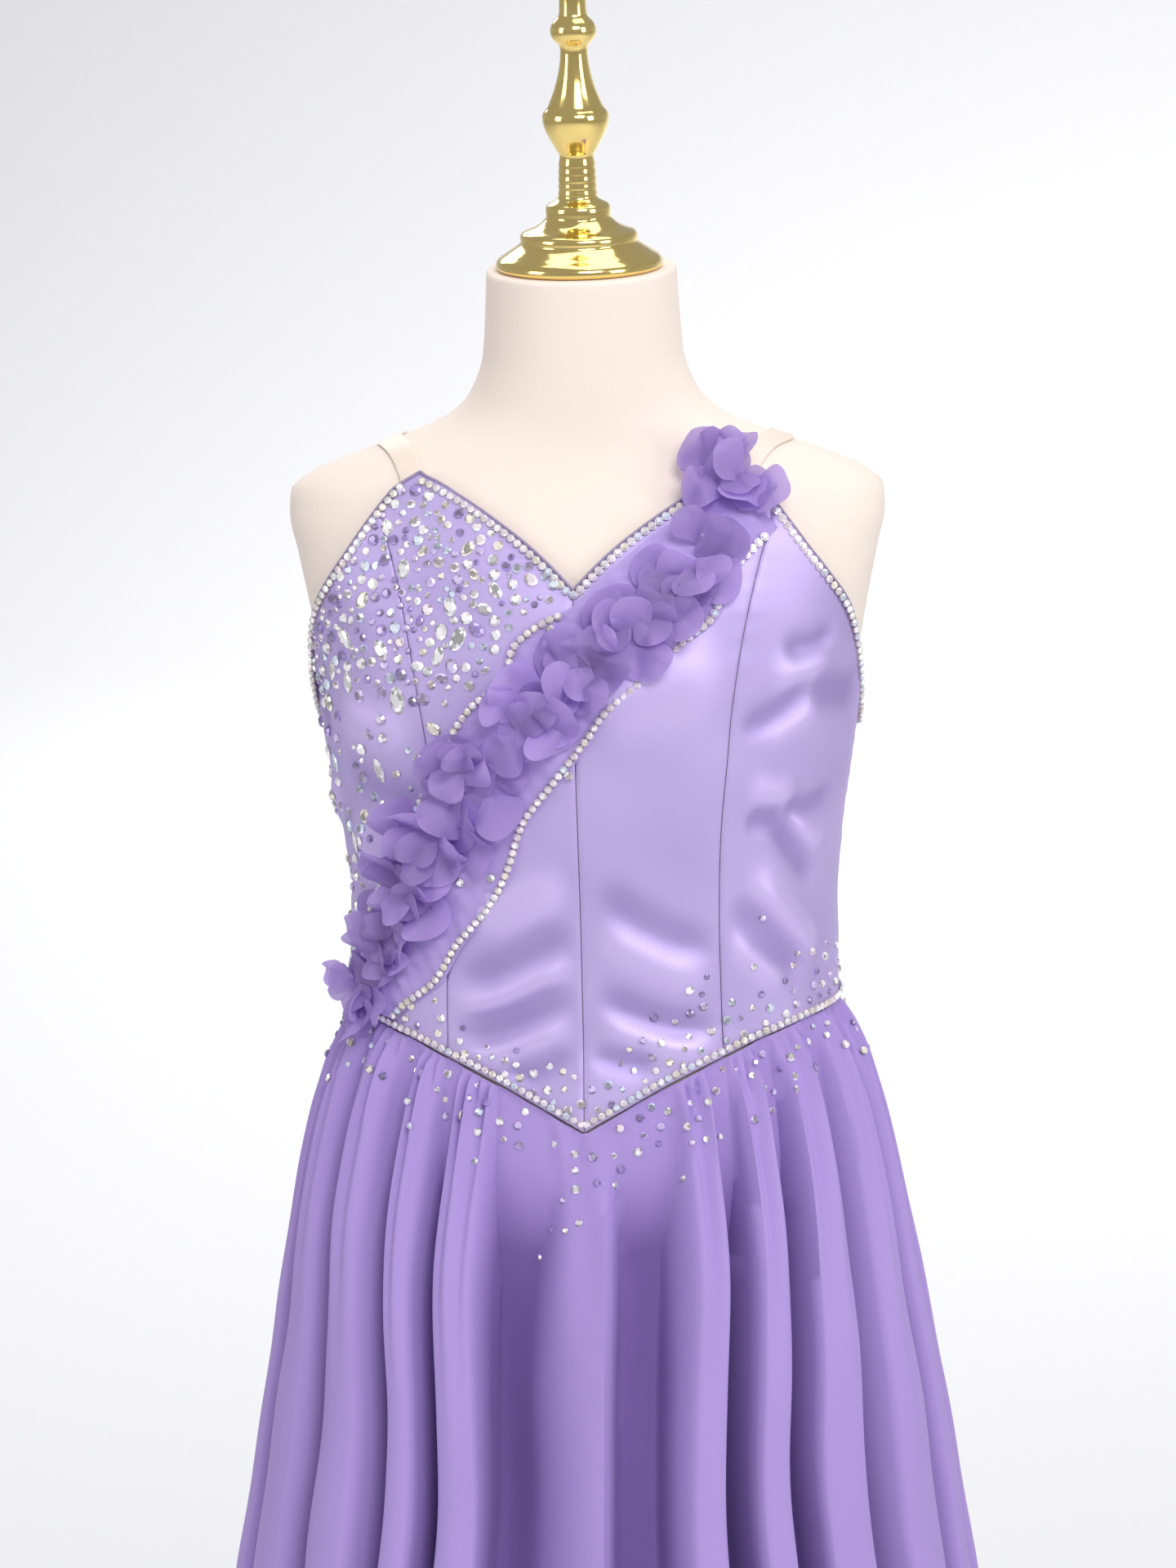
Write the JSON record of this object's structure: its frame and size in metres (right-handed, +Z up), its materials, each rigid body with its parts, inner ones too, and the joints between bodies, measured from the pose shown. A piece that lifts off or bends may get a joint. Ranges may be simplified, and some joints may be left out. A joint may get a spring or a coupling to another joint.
{
  "type": "ballet dress on a dress form",
  "caption": "Long lyrical ballet dress with a pointed satin bodice, a diagonal flower band and a gathered chiffon skirt, on a limbless dress form.",
  "frame": {"origin": "centre of the stand's foot, on the floor", "axes": "+Z up, +X to the wearer's left, the dress faces -Y"},
  "size_m": [0.5182, 0.4669, 1.4917],
  "materials": {
    "satin": "lilac satin with a broad sheen",
    "chiffon": "opaque matt lilac chiffon",
    "petals": "thin translucent chiffon",
    "crystals": "set crystals in a silvery chain",
    "elastic": "skin-coloured elastic",
    "linen": "cream linen cover",
    "gilt": "polished gilt metal"
  },
  "bodies": {
    "root": {"dress_form": "linen", "neck_finial": "gilt", "pole": "gilt", "foot": "gilt", "front_left": "satin", "front_right": "satin", "side_front_left": "satin", "side_front_right": "satin", "side_back_left": "satin", "side_back_right": "satin", "back_left": "satin", "back_right": "satin", "back_placket": "satin", "strap_left": "elastic", "strap_right": "elastic", "band": "chiffon", "flower_01": "petals", "flower_02": "petals", "flower_03": "petals", "flower_04": "petals", "flower_05": "petals", "flower_06": "petals", "flower_07": "petals", "flower_08": "petals", "flower_09": "petals", "flower_10": "petals", "chain_waist": "crystals", "chain_neckline": "crystals", "chain_armhole_left": "crystals", "chain_armhole_right": "crystals", "chain_band_upper": "crystals", "chain_band_lower": "crystals", "skirt_front": "chiffon", "skirt_back": "chiffon"}
  },
  "joints": []
}
